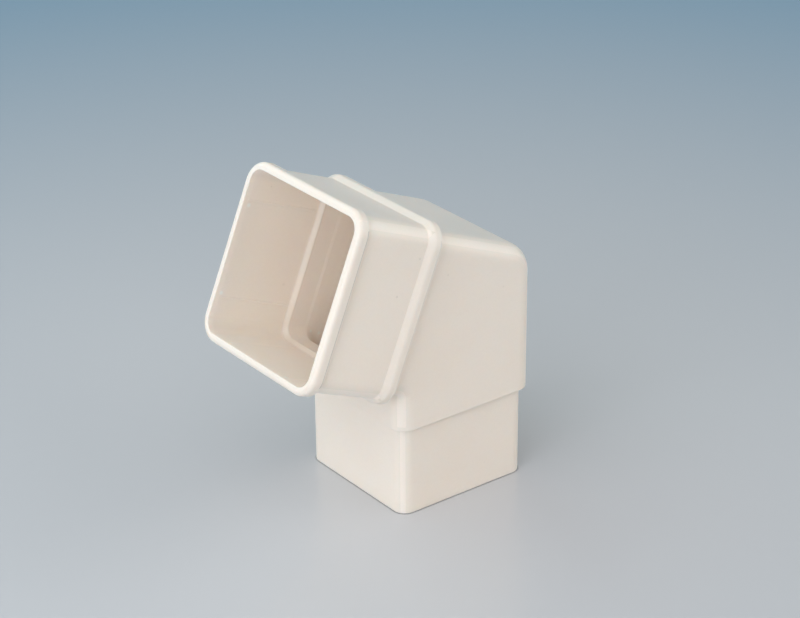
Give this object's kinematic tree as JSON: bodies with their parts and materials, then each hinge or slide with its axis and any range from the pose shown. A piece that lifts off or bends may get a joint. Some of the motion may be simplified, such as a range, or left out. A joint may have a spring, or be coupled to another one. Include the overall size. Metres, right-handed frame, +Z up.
{
  "type": "downspout elbow",
  "caption": "Moulded square rainwater elbow: a plain spigot, a mitred body with a rounded heel, and a beaded push-fit socket with a pipe stop and fine guide ribs.",
  "frame": {"origin": "centre of the spigot's open end, on the plane that the elbow stands on", "axes": "+Z up the spigot's axis, the socket leaves towards -X and upwards, +Y across the bend's plane of symmetry"},
  "size_m": [0.1101, 0.0726, 0.1343],
  "materials": {
    "moulded_body": "cream-white, softly glossy as moulded"
  },
  "bodies": {
    "root": {"elbow_body": "moulded_body"}
  },
  "joints": []
}
